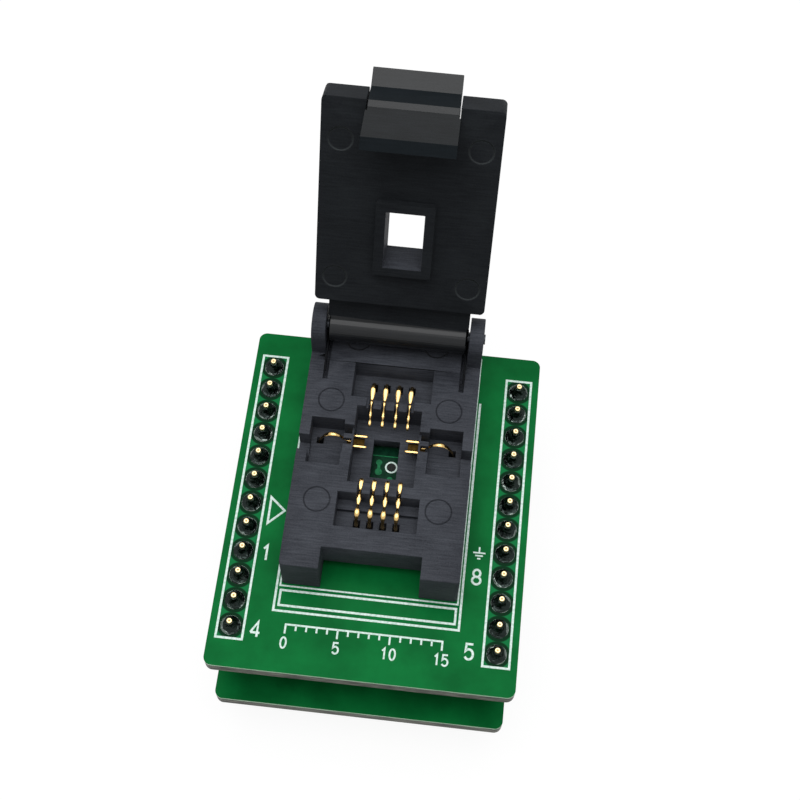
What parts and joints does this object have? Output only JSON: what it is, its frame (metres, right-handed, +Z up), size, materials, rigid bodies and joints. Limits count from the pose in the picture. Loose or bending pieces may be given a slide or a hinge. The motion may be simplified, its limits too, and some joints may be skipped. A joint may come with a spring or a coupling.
{
  "type": "programming socket",
  "caption": "Clamshell programming socket for a leadless memory chip, on a circuit board that plugs by two pin rows into a carrier board with two rows of round legs.",
  "frame": {"origin": "centre of the leg pin pattern, at the leg tips", "axes": "+Z up from the legs to the socket, +Y towards the lid's hinge, +X to the right seen from the latch side"},
  "size_m": [0.0296, 0.0492, 0.0461],
  "materials": {
    "solder_mask": "green solder mask on glass laminate",
    "strip_plastic": "moulded black",
    "turned_brass": "gold plated",
    "solder": "bright tin solder",
    "gold_contact": "gold plated spring strip",
    "steel": "drawn spring steel",
    "base_plastic": "glass filled, fine grain",
    "lid_plastic": "moulded black"
  },
  "bodies": {
    "carrier": {"lower_board": "solder_mask", "left_leg_strip": "strip_plastic", "right_leg_strip": "strip_plastic", "left_leg_pins": "turned_brass", "right_leg_pins": "turned_brass", "left_leg_solder": "solder", "right_leg_solder": "solder", "left_sleeve_strip": "strip_plastic", "right_sleeve_strip": "strip_plastic", "left_sleeves": "turned_brass", "right_sleeves": "turned_brass", "left_sleeve_solder": "solder", "right_sleeve_solder": "solder"},
    "socket_board": {"upper_board": "solder_mask", "left_plug_strip": "strip_plastic", "right_plug_strip": "strip_plastic", "left_plug_pins": "turned_brass", "right_plug_pins": "turned_brass", "left_plug_solder": "solder", "right_plug_solder": "solder", "socket_base": "base_plastic", "contact_1": "gold_contact", "contact_2": "gold_contact", "contact_3": "gold_contact", "contact_4": "gold_contact", "contact_5": "gold_contact", "contact_6": "gold_contact", "contact_7": "gold_contact", "contact_8": "gold_contact", "left_ground_contact": "gold_contact", "right_ground_contact": "gold_contact", "contact_retainer": "base_plastic", "contact_solder": "solder", "hinge_pin": "steel", "left_lid_spring": "steel", "right_lid_spring": "steel"},
    "lid": {"lid": "lid_plastic", "latch_pin": "steel", "latch_springs": "steel"},
    "latch": {"latch": "lid_plastic"}
  },
  "joints": [
    {"name": "board_unplug", "type": "slide", "parent": "carrier", "child": "socket_board", "axis": [0, 0, 1], "range_m": [0, 0.0065]},
    {"name": "lid_hinge", "type": "hinge", "parent": "socket_board", "child": "lid", "pos_m": [0, 0.01559, 0.02254], "axis": [1, 0, 0], "range_deg": [0, 117.9], "stiffness_Nm_per_rad": 0.0027, "springref_deg": -28.65, "deforming": ["left_lid_spring", "right_lid_spring"]},
    {"name": "latch_pivot", "type": "hinge", "parent": "lid", "child": "latch", "pos_m": [0, 0.02564, 0.04289], "axis": [-1, 0, 0], "range_deg": [0, 8], "stiffness_Nm_per_rad": 0.01, "springref_deg": -5.73, "deforming": ["latch_springs"]}
  ]
}
